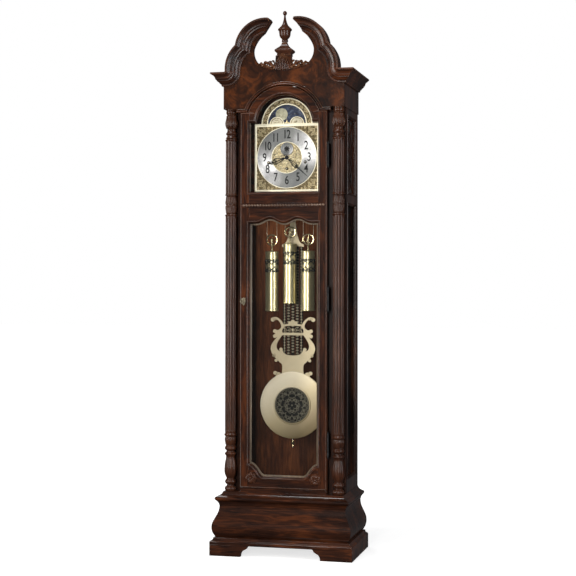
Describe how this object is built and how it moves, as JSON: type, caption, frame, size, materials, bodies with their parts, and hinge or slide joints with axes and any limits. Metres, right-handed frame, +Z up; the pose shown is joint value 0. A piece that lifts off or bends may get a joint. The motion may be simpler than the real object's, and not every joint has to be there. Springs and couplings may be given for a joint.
{
  "type": "longcase clock",
  "caption": "Tall weight-driven floor clock: swan-neck pediment, arched moon dial, full-height glazed door, corner columns, lyre pendulum and cable-hung weights on a swelling base.",
  "frame": {"origin": "on the floor, at the middle of the clock's footprint", "axes": "+Z up, +X to the right of someone facing the dial, +Y from the front towards the back; the front faces -Y"},
  "size_m": [0.632, 0.37, 2.35],
  "materials": {
    "cherry_wood": "dark cherry, satin lacquer",
    "burl_veneer": "burl veneer, satin lacquer",
    "case_board": "stained board",
    "clear_glass": "clear polished",
    "polished_brass": "polished and lacquered",
    "satin_brass": "satin antique",
    "steel": "bright",
    "cable_steel": "stranded",
    "silvered_metal": "silvered, satin",
    "blackened_steel": "black, satin",
    "painted_dial": "painted night sky with moon faces"
  },
  "bodies": {
    "case": {"plinth": "cherry_wood", "bombe_base": "cherry_wood", "base_cap_frame": "cherry_wood", "back_panel": "case_board", "side_panel_left": "cherry_wood", "side_glass_left": "clear_glass", "side_fret_left": "cherry_wood", "corner_post_left": "cherry_wood", "column_left": "cherry_wood", "side_panel_right": "cherry_wood", "side_glass_right": "clear_glass", "side_fret_right": "cherry_wood", "corner_post_right": "cherry_wood", "column_right": "cherry_wood", "pediment_board": "burl_veneer", "arch_moulding": "cherry_wood", "swan_neck_left": "cherry_wood", "swan_neck_right": "cherry_wood", "top_board": "case_board", "shell_carving": "cherry_wood", "finial": "cherry_wood", "hinge_top": "blackened_steel", "hinge_middle": "blackened_steel", "hinge_bottom": "blackened_steel", "dial_plate": "polished_brass", "chapter_ring": "silvered_metal", "dial_mask": "cherry_wood", "seat_board": "case_board", "movement_front_plate": "polished_brass", "movement_back_plate": "polished_brass", "chime_rods": "steel", "chime_cable": "cable_steel", "going_cable": "cable_steel", "strike_cable": "cable_steel"},
    "door": {"door_stile_left": "cherry_wood", "door_stile_right": "cherry_wood", "door_top_rail": "cherry_wood", "door_mid_rail": "cherry_wood", "door_bottom_rail": "cherry_wood", "dial_glass": "clear_glass", "pendulum_glass": "clear_glass"},
    "door_key": {"door_key": "polished_brass"},
    "minute_hand": {"minute_hand": "blackened_steel"},
    "hour_hand": {"hour_hand": "blackened_steel"},
    "moon_disc": {"moon_disc": "painted_dial"},
    "pendulum": {"pendulum_rod": "satin_brass", "pendulum_bob": "satin_brass", "rating_nut": "polished_brass"},
    "anchor": {"anchor": "steel"},
    "escape_wheel": {"escape_wheel": "polished_brass"},
    "strike_hammer": {"strike_hammer": "steel"},
    "chime_weight": {"chime_weight": "polished_brass"},
    "chime_pulley": {"chime_pulley": "polished_brass"},
    "chime_drum": {"chime_drum": "polished_brass"},
    "going_weight": {"going_weight": "polished_brass"},
    "going_pulley": {"going_pulley": "polished_brass"},
    "going_drum": {"going_drum": "polished_brass"},
    "strike_weight": {"strike_weight": "polished_brass"},
    "strike_pulley": {"strike_pulley": "polished_brass"},
    "strike_drum": {"strike_drum": "polished_brass"}
  },
  "joints": [
    {"name": "door_hinge", "type": "hinge", "parent": "case", "child": "door", "pos_m": [0.197, -0.13, 1.1], "axis": [0, 0, 1], "range_deg": [0, 105]},
    {"name": "key_turn", "type": "hinge", "parent": "door", "child": "door_key", "pos_m": [-0.176, -0.13, 1.091], "axis": [0, 1, 0], "range_deg": [0, 90]},
    {"name": "minute_hand_turn", "type": "hinge", "parent": "case", "child": "minute_hand", "pos_m": [0, -0.07, 1.716], "axis": [0, 1, 0], "continuous": true},
    {"name": "hour_hand_turn", "type": "hinge", "parent": "case", "child": "hour_hand", "pos_m": [0, -0.07, 1.716], "axis": [0, 1, 0], "continuous": true},
    {"name": "moon_disc_turn", "type": "hinge", "parent": "case", "child": "moon_disc", "pos_m": [0, -0.067, 1.85], "axis": [0, 1, 0], "continuous": true},
    {"name": "pendulum_swing", "type": "hinge", "parent": "case", "child": "pendulum", "pos_m": [0, 0.045, 1.72], "axis": [0, 1, 0], "range_deg": [-3, 3]},
    {"name": "anchor_rock", "type": "hinge", "parent": "case", "child": "anchor", "pos_m": [0, 0.009, 1.72], "axis": [0, 1, 0], "range_deg": [-3.2, 3.2]},
    {"name": "escape_wheel_turn", "type": "hinge", "parent": "case", "child": "escape_wheel", "pos_m": [0, 0.009, 1.746], "axis": [0, 1, 0], "continuous": true},
    {"name": "hammer_lift", "type": "hinge", "parent": "case", "child": "strike_hammer", "pos_m": [0.048, 0.06, 1.7], "axis": [1, 0, 0], "range_deg": [-14, 0], "stiffness_Nm_per_rad": 0.3, "springref_deg": 17.19},
    {"name": "chime_weight_fall", "type": "slide", "parent": "case", "child": "chime_weight", "axis": [0, 0, 1], "range_m": [-0.75, 0.15], "deforming": ["chime_cable"]},
    {"name": "chime_pulley_spin", "type": "hinge", "parent": "chime_weight", "child": "chime_pulley", "pos_m": [-0.082, -0.01, 1.359], "axis": [0, 1, 0], "range_deg": [-385, 1915]},
    {"name": "chime_drum_wind", "type": "hinge", "parent": "case", "child": "chime_drum", "pos_m": [-0.082, -0.01, 1.695], "axis": [0, 1, 0], "range_deg": [-770, 3825]},
    {"name": "going_weight_fall", "type": "slide", "parent": "case", "child": "going_weight", "axis": [0, 0, 1], "range_m": [-0.75, 0.15], "deforming": ["going_cable"]},
    {"name": "going_pulley_spin", "type": "hinge", "parent": "going_weight", "child": "going_pulley", "pos_m": [0, -0.01, 1.393], "axis": [0, 1, 0], "range_deg": [-385, 1915]},
    {"name": "going_drum_wind", "type": "hinge", "parent": "case", "child": "going_drum", "pos_m": [0, -0.01, 1.668], "axis": [0, 1, 0], "range_deg": [-770, 3825]},
    {"name": "strike_weight_fall", "type": "slide", "parent": "case", "child": "strike_weight", "axis": [0, 0, 1], "range_m": [-0.75, 0.15], "deforming": ["strike_cable"]},
    {"name": "strike_pulley_spin", "type": "hinge", "parent": "strike_weight", "child": "strike_pulley", "pos_m": [0.082, -0.01, 1.361], "axis": [0, 1, 0], "range_deg": [-385, 1915]},
    {"name": "strike_drum_wind", "type": "hinge", "parent": "case", "child": "strike_drum", "pos_m": [0.082, -0.01, 1.695], "axis": [0, 1, 0], "range_deg": [-770, 3825]}
  ],
  "couplings": [
    {"joint": "hour_hand_turn", "follows": "minute_hand_turn", "ratio": 0.083333},
    {"joint": "moon_disc_turn", "follows": "minute_hand_turn", "ratio": 0.00070621},
    {"joint": "anchor_rock", "follows": "pendulum_swing", "ratio": 1},
    {"joint": "chime_pulley_spin", "follows": "chime_weight_fall", "rad_per_m": -44.444},
    {"joint": "chime_drum_wind", "follows": "chime_weight_fall", "rad_per_m": -88.889},
    {"joint": "going_pulley_spin", "follows": "going_weight_fall", "rad_per_m": -44.444},
    {"joint": "going_drum_wind", "follows": "going_weight_fall", "rad_per_m": -88.889},
    {"joint": "strike_pulley_spin", "follows": "strike_weight_fall", "rad_per_m": -44.444},
    {"joint": "strike_drum_wind", "follows": "strike_weight_fall", "rad_per_m": -88.889}
  ]
}
